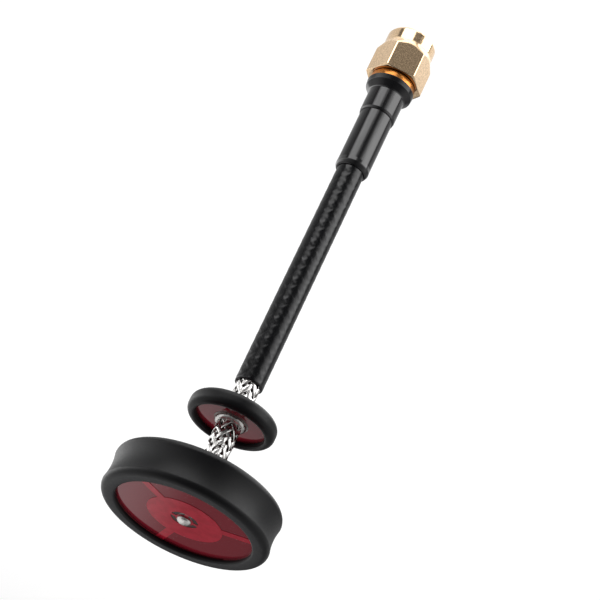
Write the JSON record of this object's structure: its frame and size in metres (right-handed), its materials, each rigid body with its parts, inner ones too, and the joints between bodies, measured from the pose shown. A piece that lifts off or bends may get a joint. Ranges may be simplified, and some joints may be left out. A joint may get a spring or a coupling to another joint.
{
  "type": "stacked-disc fpv antenna",
  "caption": "Omnidirectional video antenna: coaxial plug with free-turning hex nut, sleeved straight cable stem, small disc and ring-edged head of stacked round boards.",
  "frame": {"origin": "centre of the plug's mouth, on the thread's axis", "axes": "+Z along the cable, from the plug up to the open face of the large head; -Y towards one flat of the coupling nut"},
  "size_m": [0.0244, 0.0244, 0.0881],
  "materials": {
    "gold_plate": "bright gold plating over turned brass",
    "spring_bronze": "bare spring bronze",
    "fluoropolymer": "white, waxy",
    "silicone_seal": "soft red-brown",
    "silvered_wire": "silver plating over copper-clad wire",
    "tinned_braid": "bright tinned copper wires",
    "black_jacket": "semi-gloss black",
    "heat_shrink": "semi-gloss black, shrunk on",
    "red_board": "glass-fibre board under dark red solder mask",
    "masked_copper": "copper under red solder mask",
    "tinned_pad": "tinned copper",
    "solder": "solidified solder",
    "black_rubber": "matte moulded rubber"
  },
  "bodies": {
    "antenna": {"nut_snap_ring": "spring_bronze", "connector_body": "gold_plate", "contact_insulator": "fluoropolymer", "socket_contact": "gold_plate", "sealing_ring": "silicone_seal", "inner_conductor": "silvered_wire", "cable_dielectric": "fluoropolymer", "cable_braid": "tinned_braid", "cable_jacket": "black_jacket", "joint_sleeve": "heat_shrink", "boot_sleeve": "heat_shrink", "small_board": "red_board", "small_board_pad": "tinned_pad", "small_board_solder": "solder", "small_ring": "black_rubber", "middle_board": "red_board", "middle_board_copper": "masked_copper", "middle_board_solder": "solder", "open_board": "red_board", "open_board_copper": "masked_copper", "centre_solder": "solder", "head_ring": "black_rubber"},
    "nut": {"coupling_nut": "gold_plate"}
  },
  "joints": [
    {"name": "nut_spin", "type": "hinge", "parent": "antenna", "child": "nut", "pos_m": [0, 0, 0.0065], "axis": [0, 0, 1], "continuous": true}
  ]
}
